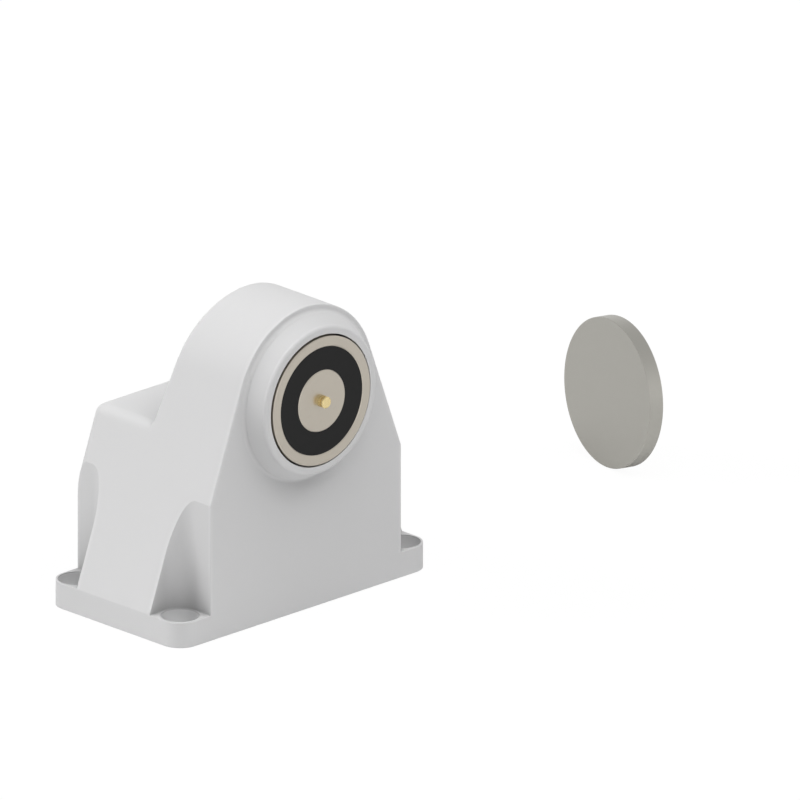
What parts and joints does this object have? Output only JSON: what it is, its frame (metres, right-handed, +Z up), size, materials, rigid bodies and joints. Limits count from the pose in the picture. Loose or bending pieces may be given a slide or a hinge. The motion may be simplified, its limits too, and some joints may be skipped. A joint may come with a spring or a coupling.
{
  "type": "electromagnetic door holder",
  "caption": "Door-holding electromagnet: white floor housing with a flange and a domed front, round pot magnet in a collar with a sprung ejector pin, and a separate steel armature disc.",
  "frame": {"origin": "middle of the housing's underside, which is the middle of its fixing holes", "axes": "+X along the flange's long side, from the housing towards the loose disc; +Y from the magnet's pole face towards the housing's back; +Z up, away from the mounting surface"},
  "size_m": [0.2628, 0.0824, 0.1196],
  "materials": {
    "white_plastic": "fine matte texture",
    "turned_steel": "turned and ground",
    "black_resin": "cast, half gloss",
    "bobbin_plastic": "plain",
    "copper_wire": "enamelled wire",
    "pin_brass": "turned",
    "spring_steel": "bright wire",
    "zinc_plate": "zinc plated",
    "screw_steel": "zinc plated",
    "terminal_plastic": "plain",
    "terminal_brass": "plain",
    "red_insulation": "plain",
    "black_insulation": "plain",
    "diode_case": "moulded",
    "grommet_rubber": "plain",
    "disc_steel": "ground, bead blasted face"
  },
  "bodies": {
    "holder": {"housing": "white_plastic", "magnet_body": "turned_steel", "potting_ring": "black_resin", "coil_bobbin": "bobbin_plastic", "coil_winding": "copper_wire", "ejector_spring": "spring_steel", "base_plate": "zinc_plate", "base_plate_screws": "screw_steel", "magnet_bracket": "zinc_plate", "bracket_screws": "screw_steel", "magnet_screw": "screw_steel", "spring_washer": "spring_steel", "terminal_block": "terminal_plastic", "terminal_clamps": "terminal_brass", "terminal_screws": "screw_steel", "terminal_fixing_screw": "screw_steel", "lead_positive": "red_insulation", "lead_negative": "black_insulation", "suppression_diode": "diode_case", "cable_grommet": "grommet_rubber", "armature_plate": "disc_steel"},
    "ejector": {"ejector_pin": "pin_brass"}
  },
  "joints": [
    {"name": "ejector_slide", "type": "slide", "parent": "holder", "child": "ejector", "axis": [0, 1, 0], "range_m": [0, 0.0027], "stiffness_N_per_m": 300, "springref_m": -0.003, "deforming": ["ejector_spring"]}
  ]
}
